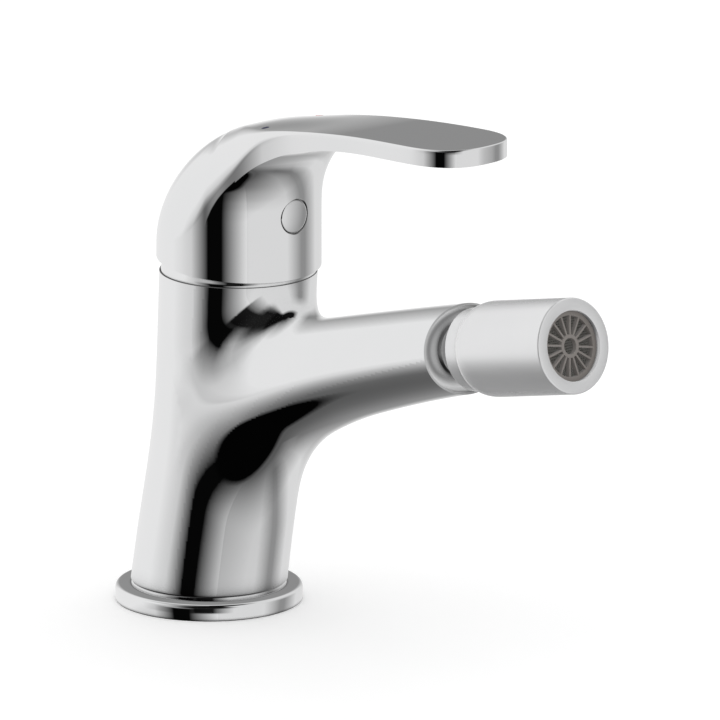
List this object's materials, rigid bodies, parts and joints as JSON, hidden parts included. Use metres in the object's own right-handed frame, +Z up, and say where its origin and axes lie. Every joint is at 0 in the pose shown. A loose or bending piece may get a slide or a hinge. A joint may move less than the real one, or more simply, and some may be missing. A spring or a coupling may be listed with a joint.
{
  "type": "bidet mixer",
  "caption": "Single-lever bidet mixer: leaning round column on a base ring, rising spout, ball-jointed spray nozzle and arched flat lever over a domed cap.",
  "frame": {"origin": "centre of the base ring's bore, in the plane of its underside", "axes": "+Z up, +X out along the spout, +Y to the left of someone who looks out along the spout"},
  "size_m": [0.184, 0.055, 0.1577],
  "materials": {
    "chrome": "polished chrome plate on brass",
    "chrome_zinc": "polished chrome plate on zinc",
    "chrome_plastic": "chrome-plated plastic",
    "brass": "machined brass",
    "steel": "turned stainless steel",
    "steel_mesh": "woven steel screens",
    "ceramic": "lapped alumina",
    "white_plastic": "moulded acetal",
    "grey_plastic": "warm grey moulded plastic",
    "black_rubber": "black rubber",
    "red_enamel": "red enamel",
    "blue_enamel": "navy blue enamel"
  },
  "bodies": {
    "body": {"base_flange": "chrome", "base_gasket": "black_rubber", "body_casting": "chrome", "cartridge_base": "white_plastic", "port_seals": "black_rubber", "ceramic_fixed_disc": "ceramic", "cartridge_housing": "white_plastic", "cartridge_nut": "brass", "cover_ring": "chrome", "ring_seal": "black_rubber", "ball_stem": "chrome"},
    "swivel": {"swivel_sleeve": "white_plastic", "pivot_pin": "steel"},
    "disc": {"ceramic_moving_disc": "ceramic", "disc_carrier": "white_plastic"},
    "lever": {"cartridge_stem": "brass", "lever_handle": "chrome_zinc", "grub_screw": "steel", "screw_plug": "chrome_plastic", "hot_mark": "red_enamel", "cold_mark": "blue_enamel"},
    "rear_seat": {"rear_seat_ring": "white_plastic"},
    "front_seat": {"front_seat_ring": "white_plastic"},
    "nozzle": {"nozzle_collar": "chrome", "nozzle_housing": "chrome", "ball_cup": "white_plastic", "aerator_seal": "black_rubber", "aerator_strainer": "grey_plastic", "aerator_cup": "grey_plastic", "aerator_mesh": "steel_mesh", "aerator_grille": "grey_plastic"}
  },
  "joints": [
    {"name": "lever_turn", "type": "hinge", "parent": "body", "child": "swivel", "pos_m": [0.013, 0, 0.098], "axis": [0, 0, 1], "range_deg": [-50, 50]},
    {"name": "lever_lift", "type": "hinge", "parent": "swivel", "child": "lever", "pos_m": [0.013, 0, 0.098], "axis": [0, -1, 0], "range_deg": [0, 25]},
    {"name": "disc_slide", "type": "slide", "parent": "swivel", "child": "disc", "axis": [1, 0, 0], "range_m": [0, 0.0066]},
    {"name": "nozzle_pan", "type": "hinge", "parent": "body", "child": "rear_seat", "pos_m": [0.11723, 0, 0.09716], "axis": [-0.2079, 0, 0.9781], "range_deg": [-15, 15]},
    {"name": "nozzle_tilt", "type": "hinge", "parent": "rear_seat", "child": "front_seat", "pos_m": [0.11723, 0, 0.09716], "axis": [0, -1, 0], "range_deg": [-15, 15]},
    {"name": "nozzle_spin", "type": "hinge", "parent": "front_seat", "child": "nozzle", "pos_m": [0.11723, 0, 0.09716], "axis": [0.9781, 0, 0.2079], "continuous": true}
  ],
  "couplings": [
    {"joint": "disc_slide", "follows": "lever_lift", "m_per_rad": 0.0151}
  ]
}
